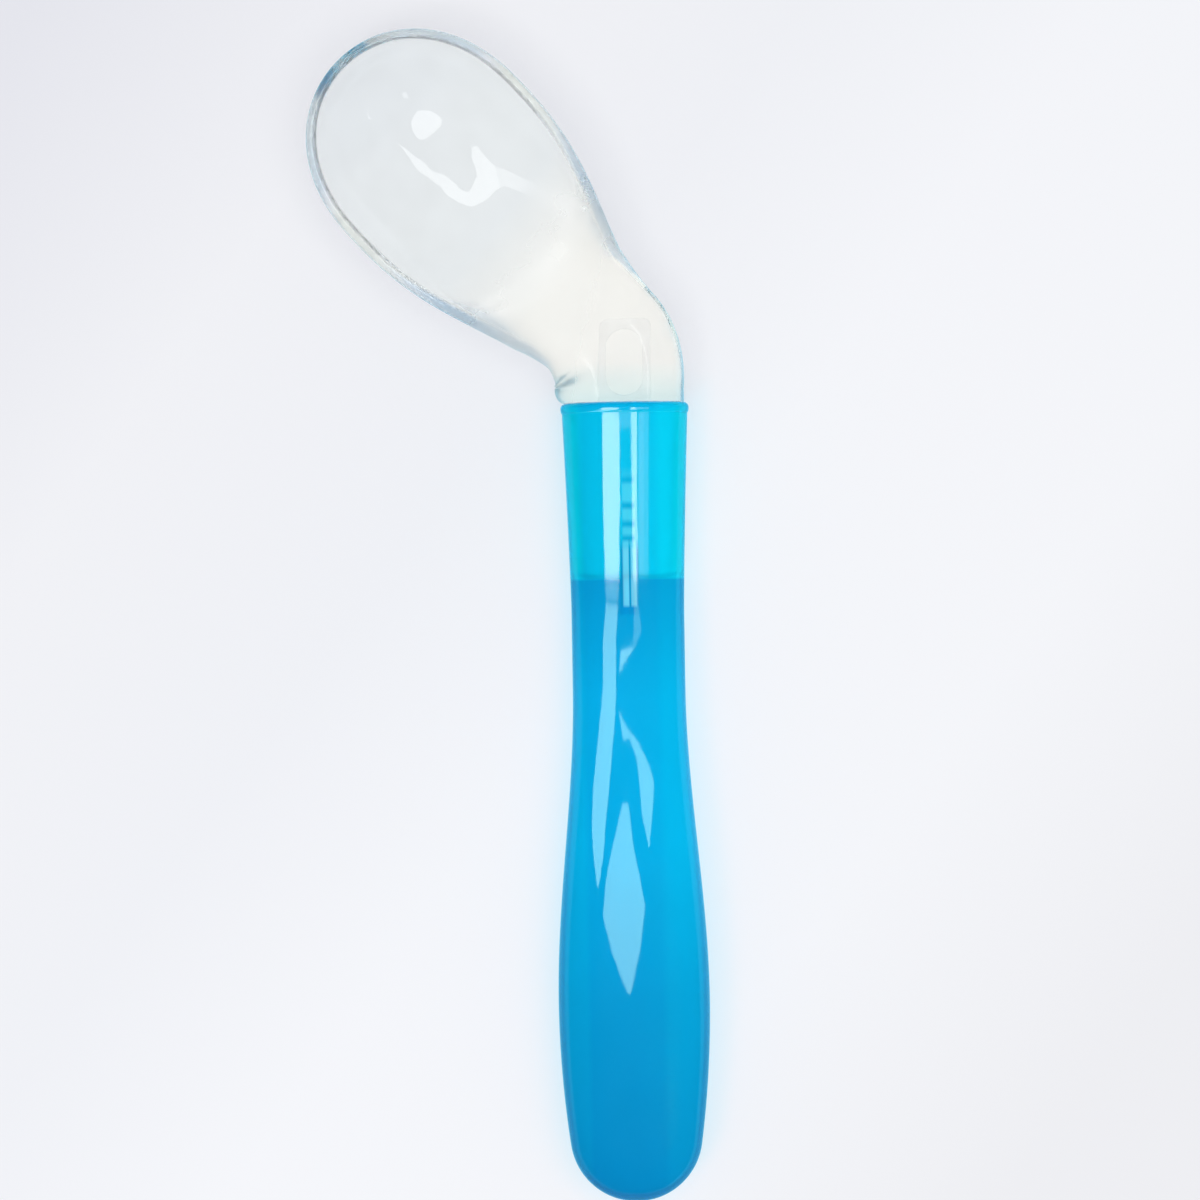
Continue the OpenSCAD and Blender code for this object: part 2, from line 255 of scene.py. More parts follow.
def side(d, taper, start, power, collar, waist, belly, tail):
    """Half a width or thickness of the handle at d below its mouth."""
    if d < start:
        return mix(collar, waist, 1 - (1 - clamp(d / taper)) ** TAPER_POWER)
    if d < BELLY_AT:
        return mix(waist, belly, swelling(d, start, power))
    fall = max(LEAST_FALL_POWER, tail * math.tan(END_LEAN) * FALL_LEN / ROUND_HALF / (belly - tail))
    return mix(belly, tail, clamp((d - BELLY_AT) / FALL_LEN) ** fall)


def handle_half(d):
    return side(d, TAPER_END, WAIST_END, 1, COLLAR_W / 2, WAIST_W / 2, BELLY_W / 2, ROUND_HALF)


def handle_thick(d):
    halves = (COLLAR_T / 2, WAIST_T / 2, BELLY_T / 2, ROUND_T)
    return side(d, THINNEST_AT, THINNEST_AT, THICKEN_POWER, *halves)


def handle_z(d):
    return mix(AXIS_Z, BELLY_Z, swelling(d, SOCKET_DEPTH, THICKEN_POWER))


def handle_ring(d, grow, turns):
    return oval(-d, handle_z(d), handle_half(d) + grow, handle_thick(d) + grow, turns)


def bead(d):
    return BEAD_OUT * math.sqrt(max(0.0, 1 - (2 * d / BEAD_H - 1) ** 2))


def make_handle():
    turns = even_turns(HANDLE_SIDES)
    quarter = [0.0] + steps(0, math.pi / 2, ROUND_STEPS)
    rings = []
    for t in [math.pi / 2] + steps(math.pi / 2, END_LEAN, HANDLE_END_STEPS):
        share = math.cos(t) / math.cos(END_LEAN)
        y = -(HANDLE_LEN - END_R * (1 - math.sin(t)))
        rings.append(oval(y, BELLY_Z, ROUND_HALF * share, ROUND_T * share, turns))
    rings += [handle_ring(d, 0, turns) for d in steps(ROUND_AT, BEAD_H, HANDLE_STEPS)]
    bead_steps = steps(BEAD_H, max(MOUTH_R, BEAD_H / 2), BEAD_STEPS)
    rings += [handle_ring(d, bead(d), turns) for d in bead_steps[:-1]]
    rings += [
        handle_ring(MOUTH_R * (1 - math.sin(t)), BEAD_OUT - MOUTH_R * (1 - math.cos(t)), turns)
        for t in quarter
    ]
    socket_steps = [0] + steps(0, SOCKET_DEPTH - SOCKET_R, SOCKET_STEPS)
    rings += [handle_ring(d, -SOCKET_WALL, turns) for d in socket_steps]
    rings += [
        handle_ring(
            SOCKET_DEPTH - SOCKET_R * (1 - math.sin(t)), -SOCKET_WALL - SOCKET_R * (1 - math.cos(t)), turns
        )
        for t in quarter[1:]
    ]
    hole_r = BARB_D / 2 + CORE_GAP
    hole_end = SOCKET_DEPTH + TAIL_LEN + 2 * CORE_GAP
    for d, r in ((SOCKET_DEPTH, hole_r), (hole_end, hole_r), (hole_end, 0)):
        rings.append([
            Vector((AXIS_X + r * math.cos(t), MOUTH_Y - d, AXIS_Z + r * math.sin(t))) for t in turns
        ])
    mesh = bmesh.new()
    loft(mesh, rings)
    return finished("handle_moulding", mesh)


# Head: its line runs from the bowl's tip, round the bend, and down into the socket
BEND_LINE_R = max(THROAT_HALF, NECK_HALF + NECK_BULGE) + BEND_R
BEND_LINE = BEND_LINE_R * BEND_ANGLE
BEND_REACH = BEND_LINE_R * math.tan(BEND_ANGLE / 2)
MOUTH_S = BOWL_LEN + BEND_LINE + BEND_AT - BEND_REACH
PLUG_END = SOCKET_DEPTH - PLUG_GAP


def turned(s):
    return BEND_ANGLE * clamp(1 - (s - BOWL_LEN) / BEND_LINE)


def line_point(s):
    """Where the head's line is, right of the handle's axis and up from its mouth."""
    t = turned(s)
    foot = BEND_AT - BEND_REACH
    if s > BOWL_LEN + BEND_LINE:
        return 0.0, foot - (s - BOWL_LEN - BEND_LINE)
    straight = max(0.0, BOWL_LEN - s)
    return (
        -BEND_LINE_R * (1 - math.cos(t)) - straight * math.sin(BEND_ANGLE),
        foot + BEND_LINE_R * math.sin(t) + straight * math.cos(BEND_ANGLE),
    )


def swell(s):
    return SWELL * (1 - clamp(abs(s - BOWL_LEN) / BEND_LINE) ** 2)


def bulge(s):
    """The neck bulges inside the bend, and rounds in to the mouth of the handle."""
    below = s - BOWL_LEN - BEND_LINE
    if below > 0:
        return NECK_BULGE * math.sqrt(max(0.0, 1 - (below / (BEND_AT - BEND_REACH)) ** 2))
    return NECK_BULGE * smooth((s - BOWL_LEN + 2 * NECK_BULGE) / (3 * NECK_BULGE))


def front_share(s, start):
    return 1 - clamp((BOWL_WIDEST - s) / (BOWL_WIDEST - start)) ** EGG_POWER


def rear_half(s):
    t = clamp((s - BOWL_WIDEST) / (BOWL_LEN - BOWL_WIDEST)) ** SHOULDER_POWER
    return mix(BOWL_HALF, THROAT_HALF, smooth(t))


def outer_half(s):
    if s < BOWL_WIDEST:
        return BOWL_HALF * math.sqrt(front_share(s, 0))
    return mix(rear_half(s), NECK_HALF, smooth((s - BOWL_LEN) / BEND_LINE))


def inner_half(s):
    if s < BOWL_WIDEST:
        return HOLLOW_HALF * math.sqrt(front_share(s, LIP_T))
    return rear_half(s) - LIP_T


def neckness(s):
    """0 in the bowl and 1 in the neck."""
    return smooth((s - THROAT_START) / (BOWL_LEN - THROAT_START))


def hollow_depth(s):
    if s < BOWL_WIDEST:
        return BOWL_DEPTH * front_share(s, LIP_T) ** HOLLOW_POWER
    t = clamp((s - BOWL_WIDEST) / (HOLLOW_END - BOWL_WIDEST)) ** SHOULDER_POWER
    return BOWL_DEPTH * (1 - smooth(t))


def under_depth(s):
    full = BOWL_DEPTH + FLOOR_T
    return full * front_share(s, 0) ** UNDER_POWER if s < BOWL_WIDEST else full


def lip_level(s):
    return LIP_Z + TIP_RISE * clamp((BOWL_WIDEST - s) / BOWL_WIDEST) ** 2


def neck_z(s):
    return mix(THROAT_Z, AXIS_Z, smooth((s - BOWL_LEN) / BEND_LINE))


def neck_thick(s):
    return mix(THROAT_T, NECK_T, smooth((s - BOWL_LEN) / BEND_LINE)) / 2


def dome(share):
    return (1 - min(1.0, abs(share)) ** SQUARENESS) ** (1 / SQUARENESS)


def past_hollow(s, w):
    """Under 0 in the hollow and over 0 on the lip."""
    if s > BOWL_WIDEST:
        return abs(w) / inner_half(s) - 1
    return (w / HOLLOW_HALF) ** 2 - 1 + ((BOWL_WIDEST - s) / (BOWL_WIDEST - LIP_T)) ** EGG_POWER


def lip_top(s, w):
    """Height of the lip's round top, from its outer edge to its inner edge."""
    if s < BOWL_WIDEST:
        outside = front_share(s, 0) - (w / BOWL_HALF) ** 2
        across = outside / max(outside + past_hollow(s, w), TINY)
    else:
        across = (outer_half(s) - abs(w)) / LIP_T
    return LIP_T * math.sqrt(max(0.0, across * (1 - across)))


def top_z(s, w):
    half = outer_half(s)
    neck = neck_z(s) + neck_thick(s) * dome(w / half if half else 1)
    if neckness(s) >= 1:
        return neck
    inner = inner_half(s)
    if abs(w) < inner:
        bowl = lip_level(s) - hollow_depth(s) * (1 - (w / inner) ** 2) ** HOLLOW_POWER
    else:
        bowl = lip_level(s) + lip_top(s, w)
    return mix(bowl, neck, neckness(s))


def under_z(s, w):
    half = outer_half(s)
    share = w / half if half else 1
    bowl = lip_level(s) - under_depth(s) * max(0.0, 1 - share ** 2) ** UNDER_POWER
    return mix(bowl, neck_z(s) - neck_thick(s) * dome(share), neckness(s))


# A section crosses the bowl on a line that starts at m on the bowl's line and curls forward at its ends
def curl(m):
    return (1 - clamp(m / BOWL_WIDEST)) ** 2


def section_half(m):
    return outer_half(BOWL_WIDEST / (2 - m / BOWL_WIDEST) if m < BOWL_WIDEST else m)


def front_edge(w):
    return BOWL_WIDEST * (1 - max(0.0, 1 - (w / BOWL_HALF) ** 2) ** (1 / EGG_POWER))


def section_s(m, w):
    return m + curl(m) * front_edge(w) if curl(m) > 0 else m


LIP_TURN = math.radians(40)
HALF_TURNS = steps(0, LIP_TURN, HEAD_LIP_SIDES) + steps(LIP_TURN, math.pi / 2, HEAD_HOLLOW_SIDES)
TOP_COUNT = 2 * len(HALF_TURNS) + 1
HEAD_TURNS = (
    [0.0] + HALF_TURNS + [math.pi - t for t in HALF_TURNS[-2::-1]] + [math.pi]
    + [math.pi + t for t in steps(0, math.pi, TOP_COUNT - 1)[:-1]]
)


def lip_start(m):
    """Where the lip begins across a section, as a share of its half width."""
    low, high = 0.0, 1.0
    for _ in range(LIP_SEARCHES):
        middle = (low + high) / 2
        w = middle * section_half(m)
        if past_hollow(section_s(m, w), w) < 0:
            low = middle
        else:
            high = middle
    return max(LEAST_HOLLOW_SHARE, low)


def top_places(m):
    """Places across a section's top, as shares of its half width: the lip and then the hollow."""
    start = lip_start(m)
    bowl = [1 - (1 - start) * (1 - math.cos(t)) / 2 for t in steps(0, math.pi, HEAD_LIP_SIDES)]
    bowl += [start * math.cos(t) for t in steps(0, math.pi / 2, HEAD_HOLLOW_SIDES)]
    half = [
        mix(place, signed_power(math.cos(t), 2 / SQUARENESS), neckness(m))
        for place, t in zip(bowl, HALF_TURNS)
    ]
    return [1.0] + half + [-place for place in half[-2::-1]] + [-1.0]


UNDER_PLACES = [-signed_power(math.cos(t), 2 / SQUARENESS) for t in steps(0, math.pi, TOP_COUNT - 1)[:-1]]


def head_point(s, w, z):
    x, y = line_point(s)
    t = turned(s)
    inside = max(0.0, -w) / max(outer_half(s), TINY)
    out = swell(s) + w - bulge(s) * inside ** 2
    return Vector((AXIS_X + x + out * math.cos(t), MOUTH_Y + y + out * math.sin(t), z))


def head_ring(m):
    half = section_half(m)
    ring = []
    for places, height in ((top_places(m), top_z), (UNDER_PLACES, under_z)):
        for place in places:
            w = place * half
            s = section_s(m, w)
            ring.append(head_point(s, w, height(s, w)))
    return ring


def front_ring():
    """The first section: its top and its underside both run along the bowl's front edge."""
    half = section_half(0)
    places = top_places(0)
    ring = []
    for place in places + places[-2:0:-1]:
        s = front_edge(place * half)
        ring.append(head_point(s, place * half, lip_level(s)))
    return ring


def plug_ring(d, shrink):
    inset = SOCKET_WALL + PLUG_GAP + shrink
    return oval(-d, AXIS_Z, handle_half(d) - inset, handle_thick(d) - inset, HEAD_TURNS)


def make_head():
    lip_stations = [LIP_T * (1 - math.cos(t)) / 2 for t in steps(0, math.pi, HEAD_LIP_STEPS)]
    stations = lip_stations + [
        mix(LIP_T, THROAT_START, share ** SHOULDER_POWER) for share in steps(0, 1, HEAD_HOLLOW_STEPS)
    ]
    stations += steps(THROAT_START, BOWL_LEN, HEAD_THROAT_STEPS)
    stations += steps(BOWL_LEN, BOWL_LEN + BEND_LINE, HEAD_BEND_STEPS)
    stations += [
        mix(BOWL_LEN + BEND_LINE, MOUTH_S - SEAT_GAP, math.sin(t))
        for t in steps(0, math.pi / 2, HEAD_FOOT_STEPS)
    ]
    rings = [front_ring()] + [head_ring(m) for m in stations]
    rings += [plug_ring(d, 0) for d in [-SEAT_GAP] + steps(-SEAT_GAP, PLUG_END - SOCKET_R, SOCKET_STEPS)]
    rings += [
        plug_ring(PLUG_END - SOCKET_R * (1 - math.sin(t)), SOCKET_R * (1 - math.cos(t)))
        for t in steps(0, math.pi / 2, ROUND_STEPS)
    ]
    mesh = bmesh.new()
    loft(mesh, rings)
    return finished("silicone_head_moulding", mesh)


def arc(x, y, r, start, end, count):
    """Points round an arc, both ends among them."""
    turns = [start] + steps(start, end, count)
    return [(x + r * math.cos(t), y + r * math.sin(t)) for t in turns]


def line(start, end, count):
    return [(mix(start[0], end[0], k / count), mix(start[1], end[1], k / count)) for k in range(count + 1)]


def make_core():
    """A flat tongue with a window, its stem and its barbed tail."""
    half = TONGUE_W / 2
    inset = half - TONGUE_R
    shoulder = (half, -TONGUE_DEPTH)
    foot = (STEM_D / 2, -TONGUE_DEPTH - half)
    corner_y = TONGUE_REACH - TONGUE_R
    outline = arc(inset, corner_y, TONGUE_R, 0, math.pi / 2, CORE_CORNER_STEPS) + [(0.0, TONGUE_REACH)]
    outline += arc(-inset, corner_y, TONGUE_R, math.pi / 2, math.pi, CORE_CORNER_STEPS)
    taper = line(shoulder, foot, CORE_TAPER_STEPS)
    outline += [(-x, y) for x, y in taper]
    outline += line((-foot[0], foot[1]), foot, CORE_FOOT_STEPS)[1:-1] + taper[::-1]
    window_r = WINDOW_W / 2
    window_high = TONGUE_REACH - WINDOW_WEB - window_r
    window_low = window_high - WINDOW_LEN + WINDOW_W
    window = arc(0.0, window_high, window_r, 0, math.pi, WINDOW_STEPS)
    window += arc(0.0, window_low, window_r, math.pi, math.tau, WINDOW_STEPS)
    rings = []
    for z, points in ((-1, window), (-1, outline), (1, outline), (1, window), (-1, window)):
        rings.append([Vector((AXIS_X + x, MOUTH_Y + y, AXIS_Z + z * TONGUE_T / 2)) for x, y in points])
    mesh = bmesh.new()
    loft(mesh, rings)
    bmesh.ops.remove_doubles(mesh, verts=mesh.verts, dist=WELD)
    sharp = [edge for edge in mesh.edges if edge.calc_face_angle(0.0) > math.radians(CORE_SHARP)]
    bmesh.ops.bevel(
        mesh, geom=sharp, offset=CORE_EDGE_R, offset_type="OFFSET", affect="EDGES",
        segments=CORE_EDGE_STEPS, profile=0.5, material=-1,
    )
    tail_end = SOCKET_DEPTH + TAIL_LEN
    profile = [(0.0, TONGUE_DEPTH), (STEM_D / 2, TONGUE_DEPTH)]
    for k in reversed(range(BARBS)):
        top = tail_end - (k + 1) * BARB_PITCH
        profile += [(STEM_D / 2, top), (BARB_D / 2, top + BARB_PITCH / 4), (STEM_D / 2, top + BARB_PITCH)]
    profile += [(0.0, tail_end)]
    turns = even_turns(TAIL_SIDES)
    loft(mesh, [
        [Vector((AXIS_X + r * math.cos(t), MOUTH_Y - d, AXIS_Z + r * math.sin(t))) for t in turns]
        for r, d in profile
    ])
    return finished("core_moulding", mesh, CORE_CREASE)


# Materials
BLACK = (0.0, 0.0, 0.0, 1)
WHITE = (1.0, 1.0, 1.0, 1)
TIP_TO_NECK = (0.77, -0.64, 0.0)
TIP_AT = -80 * MM
PAINTED_BLUE_REACH = 5 * MM
DULL_BELOW_LIP = 5 * MM
SOCKET_EDGE = 0.2 * MM
SKIN_BUMP = 0.5


def shader(name, **sockets):
    """A material whose Principled shader has these values, and its node tree's main parts."""
    material = bpy.data.materials.new(name)
    material.use_nodes = True
    surface = material.node_tree.nodes["Principled BSDF"]
    for socket, value in sockets.items():
        surface.inputs[socket.replace("_", " ")].default_value = value
    return material, material.node_tree, surface


def ramp(tree, share, stops):
    """Colours that follow a share from 0 to 1."""
    node = tree.nodes.new("ShaderNodeValToRGB")
    while len(node.color_ramp.elements) < len(stops):
        node.color_ramp.elements.new(1.0)
    for element, (position, colour) in zip(node.color_ramp.elements, stops):
        element.position = position
        element.color = colour
    tree.links.new(share, node.inputs["Fac"])
    return node.outputs["Color"]


def absorbing(tree, colour, density):
    volume = tree.nodes.new("ShaderNodeVolumeAbsorption")
    volume.inputs["Color"].default_value = colour
    volume.inputs["Density"].default_value = density
    tree.links.new(volume.outputs[0], tree.nodes["Material Output"].inputs["Volume"])


def lets_lamps_through(tree, surface, colour):
    """Lamps shine through the piece as through clear plastic, so that its shadow stays pale."""
    path = tree.nodes.new("ShaderNodeLightPath")
    clear = tree.nodes.new("ShaderNodeBsdfTransparent")
    clear.inputs["Color"].default_value = colour
    both = tree.nodes.new("ShaderNodeMixShader")
    tree.links.new(path.outputs["Is Shadow Ray"], both.inputs[0])
    tree.links.new(surface.outputs[0], both.inputs[1])
    tree.links.new(clear.outputs[0], both.inputs[2])
    tree.links.new(both.outputs[0], tree.nodes["Material Output"].inputs["Surface"])


def share_along(tree, direction, start, end, space="Object"):
    """How far a point lies along a direction, from 0 at the start to 1 at the end."""
    place = tree.nodes.new("ShaderNodeTexCoord")
    along = tree.nodes.new("ShaderNodeVectorMath")
    along.operation = "DOT_PRODUCT"
    along.inputs[1].default_value = direction
    tree.links.new(place.outputs[space], along.inputs[0])
    share = tree.nodes.new("ShaderNodeMapRange")
    share.inputs["From Min"].default_value = start
    share.inputs["From Max"].default_value = end
    tree.links.new(along.outputs["Value"], share.inputs["Value"])
    return share.outputs["Result"]


def times(tree, colour, other):
    """One colour multiplied by another."""
    product = tree.nodes.new("ShaderNodeMix")
    product.data_type = "RGBA"
    product.blend_type = "MULTIPLY"
    product.inputs["Factor"].default_value = 1.0
    tree.links.new(colour, product.inputs["A"])
    tree.links.new(other, product.inputs["B"])
    return product.outputs["Result"]


def grey(level):
    return (level, level, level, 1)


def cloudy(tree, size, low, high):
    """A soft, uneven shade between two greys, in patches of about this size."""
    place = tree.nodes.new("ShaderNodeTexCoord")
    cloud = tree.nodes.new("ShaderNodeTexNoise")
    cloud.inputs["Scale"].default_value = 1 / size
    cloud.inputs["Detail"].default_value = 3.0
    tree.links.new(place.outputs["Object"], cloud.inputs["Vector"])
    return ramp(tree, cloud.outputs["Fac"], ((0.35, grey(low)), (0.65, grey(high))))


def laid_over(tree, seen, under, over):
    """One colour over another, as far as the upper one is seen."""
    mixed = tree.nodes.new("ShaderNodeMix")
    mixed.data_type = "RGBA"
    tree.links.new(seen, mixed.inputs["Factor"])
    tree.links.new(under, mixed.inputs["A"])
    tree.links.new(over, mixed.inputs["B"])
    return mixed.outputs["Result"]


def moulded_skin(tree, surface, rough, size, depth):
    """The unevenness of a moulded face: where it is rougher, and a slight bump in patches of this size."""
    tree.links.new(rough, surface.inputs["Roughness"])
    bump = tree.nodes.new("ShaderNodeBump")
    bump.inputs["Strength"].default_value = SKIN_BUMP
    bump.inputs["Distance"].default_value = depth
    tree.links.new(cloudy(tree, size, 0.0, 1.0), bump.inputs["Height"])
    tree.links.new(bump.outputs["Normal"], surface.inputs["Normal"])


def silicone():
    """Clear and a little cloudy. It is greyer in the bowl, and creamier and duller in the thick neck.

    Its foot and the plug in the socket are painted pale blue, for the blue handle's light in them.
    """
    material, tree, surface = shader("clear silicone", IOR=1.41, Transmission_Weight=0.975)
    from_tip = share_along(tree, TIP_TO_NECK, TIP_AT, 0.0)
    body = ramp(tree, from_tip, (
        (0.0, (0.78, 0.815, 0.87, 1)),
        (0.5, (0.82, 0.86, 0.89, 1)),
        (0.6, (0.83, 0.87, 0.9, 1)),
        (0.74, (0.94, 0.945, 0.92, 1)),
        (1.0, (0.93, 0.93, 0.915, 1)),
    ))
    # Painted light: pale blue from the handle over the plug, fading out above the mouth.
    foot = ramp(tree, share_along(tree, (0.0, 1.0, 0.0), MOUTH_Y, MOUTH_Y + PAINTED_BLUE_REACH), (
        (0.0, (0.76, 0.93, 0.97, 1)),
        (0.3, (0.84, 0.96, 0.98, 1)),
        (1.0, WHITE),
    ))
    tint = times(tree, times(tree, body, foot), cloudy(tree, 5 * MM, 0.97, 1.0))
    tree.links.new(tint, surface.inputs["Base Color"])
    in_neck = ramp(tree, from_tip, ((0.58, BLACK), (0.72, WHITE)))
    up_the_bowl = share_along(tree, (0.0, 0.0, 1.0), LIP_Z - DULL_BELOW_LIP, LIP_Z)
    bowl_dull = ramp(tree, up_the_bowl, ((0.05, grey(0.04)), (0.4, grey(0.17))))
    to_the_core = share_along(tree, (1.0, -0.25, 0.0), 0.0, 5 * MM)
    neck_dull = ramp(tree, to_the_core, ((0.1, grey(0.4)), (0.6, grey(0.11))))
    dull = laid_over(tree, in_neck, bowl_dull, neck_dull)
    moulded_skin(tree, surface, times(tree, dull, cloudy(tree, 3 * MM, 0.7, 1.0)), 3 * MM, 0.004 * MM)
    absorbing(tree, (0.97, 0.965, 0.93, 1), 15)
    lets_lamps_through(tree, surface, (0.62, 0.62, 0.66, 1))
    return material


def clear_core():
    material, tree, surface = shader("clear core plastic", IOR=1.1, Transmission_Weight=0.96)
    tint = times(tree, cloudy(tree, 2 * MM, 0.94, 0.98), cloudy(tree, 6 * MM, 0.98, 1.0))
    tree.links.new(tint, surface.inputs["Base Color"])
    moulded_skin(tree, surface, cloudy(tree, 2 * MM, 0.04, 0.08), 1.5 * MM, 0.003 * MM)
    lets_lamps_through(tree, surface, (0.96, 0.96, 0.95, 1))
    return material


# The core's stem and tail, painted into the handle's colour as they would show through it: paler light and
# darker lines
STEM_FROM = 8 * MM
STEM_TO = 18 * MM
RUNG_DEPTHS = (9.7 * MM, 12.9 * MM, 15.2 * MM, 17 * MM)
TAIL_FROM = 17 * MM
TAIL_TO = 27 * MM
STRIP_HALF = 2 * MM
PAINTED_STEM_LIGHT = (0.13, 0.79, 0.93, 1)
PAINTED_RUNG_LINE = (0.0, 0.56, 0.78, 1)
PAINTED_TAIL_LIGHT = (0.3, 0.8, 0.93, 1)
PAINTED_TAIL_LINE = (0.0, 0.42, 0.66, 1)


def depth_share(tree, start, end):
    """How far a point lies between two depths below the handle's mouth."""
    return share_along(tree, (0.0, -1.0, 0.0), start - MOUTH_Y, end - MOUTH_Y)


def with_painted_stem(tree, colour, sideways):
    """Paints the core's stem over the blue of the socket, pale and crossed by soft darker rungs."""
    down = depth_share(tree, STEM_FROM, STEM_TO)
    seen = times(
        tree,
        ramp(tree, sideways, ((0.34, BLACK), (0.4, WHITE), (0.7, WHITE), (0.78, BLACK))),
        ramp(tree, down, ((0.0, BLACK), (0.25, WHITE), (0.95, WHITE), (1.0, BLACK))),
    )
    stops = []
    for depth in RUNG_DEPTHS:
        place = (depth - STEM_FROM) / (STEM_TO - STEM_FROM)
        for beside, colour_there in ((-0.07, PAINTED_STEM_LIGHT), (-0.01, PAINTED_RUNG_LINE), (0.01, PAINTED_RUNG_LINE), (0.06, PAINTED_STEM_LIGHT)):
            stops.append((place + beside, colour_there))
    return laid_over(tree, seen, colour, ramp(tree, down, stops))


def with_painted_tail(tree, colour, sideways):
    """Paints the core's tail, as three fine darker lines with a paler blue between them."""
    seen = times(
        tree,
        ramp(tree, sideways, ((0.28, BLACK), (0.31, WHITE), (0.83, WHITE), (0.86, BLACK))),
        ramp(tree, depth_share(tree, TAIL_FROM, TAIL_TO), (
            (0.0, BLACK), (0.15, WHITE), (0.82, WHITE), (0.86, BLACK),
        )),
    )
    lines = ramp(tree, sideways, (
        (0.31, PAINTED_TAIL_LINE), (0.34, PAINTED_TAIL_LINE), (0.39, PAINTED_TAIL_LIGHT), (0.53, PAINTED_TAIL_LIGHT), (0.56, PAINTED_TAIL_LINE),
        (0.59, PAINTED_TAIL_LINE), (0.63, PAINTED_TAIL_LIGHT), (0.76, PAINTED_TAIL_LIGHT), (0.8, PAINTED_TAIL_LINE), (0.83, PAINTED_TAIL_LINE),
    ))
    return laid_over(tree, seen, colour, lines)


def blue_plastic():
    """Translucent blue, with painted light and shade: palest over the socket, where its thin wall shows
    the clear plug and the core, darker below the socket's floor and towards the end.
    """
    material, tree, surface = shader("translucent blue plastic", IOR=1.49, Transmission_Weight=0.6)
    bead_end, socket_above, socket_below = (
        depth / HANDLE_LEN for depth in (BEAD_H, SOCKET_DEPTH - SOCKET_EDGE, SOCKET_DEPTH + SOCKET_EDGE)
    )
    # Painted light and shade along the handle: paler over the socket, a darker band below its floor, and
    # darker towards the end.
    along = ramp(tree, depth_share(tree, 0.0, HANDLE_LEN), (
        (0.0, (0.0, 0.62, 0.88, 1)),
        (bead_end, (0.0, 0.78, 0.94, 1)),
        (socket_above, (0.0, 0.8, 0.95, 1)),
        (socket_below, (0.0, 0.46, 0.75, 1)),
        (0.37, (0.0, 0.6, 0.9, 1)),
        (0.55, (0.0, 0.6, 0.9, 1)),
        (0.75, (0.0, 0.46, 0.75, 1)),
        (1.0, (0.0, 0.34, 0.63, 1)),
    ))
    # Painted light across the handle: its left edge and a band on its right side lighter than the middle.
    half = BELLY_W / 2
    across = ramp(tree, share_along(tree, (1.0, 0.0, 0.0), AXIS_X - half, AXIS_X + half), (
        (0.185, WHITE),
        (0.225, (0.88, 0.88, 0.95, 1)),
        (0.5, (0.88, 0.88, 0.95, 1)),
        (0.68, (0.91, 0.91, 0.96, 1)),
        (0.73, WHITE),
        (0.9, WHITE),
        (1.0, grey(0.95)),
    ))
    # Painted view of the core's stem and tail through the socket's wall.
    sideways = share_along(tree, (1.0, 0.0, 0.0), AXIS_X - STRIP_HALF, AXIS_X + STRIP_HALF)
    colour = with_painted_stem(tree, times(tree, along, across), sideways)
    colour = with_painted_tail(tree, colour, sideways)
    tree.links.new(times(tree, colour, cloudy(tree, 8 * MM, 0.97, 1.0)), surface.inputs["Base Color"])
    moulded_skin(tree, surface, cloudy(tree, 4 * MM, 0.04, 0.06), 2.5 * MM, 0.003 * MM)
    absorbing(tree, (0.0, 0.986, 0.994, 1), 1500)
    lets_lamps_through(tree, surface, (0.6, 0.92, 0.98, 1))
    return material


def dress(piece, node, material):
    piece.data.materials.append(material)
    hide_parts(node)
    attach(piece, "root")


handle = make_handle()
head = make_head()
core = make_core()
dress(handle, "handle", blue_plastic())
dress(head, "silicone_head", silicone())
dress(core, "core_insert", clear_core())


# Table
TABLE_HALF = 2.0
TABLE_OWN_LIGHT = 0.5
SHADE_LINE = (0.8, -0.6, 0.0)
SHADE_REACH = 100 * MM


def even_light(tree, colour):
    """A light that no lamp or shadow changes."""
    light = tree.nodes.new("ShaderNodeEmission")
    light.inputs["Color"].default_value = colour
    return light


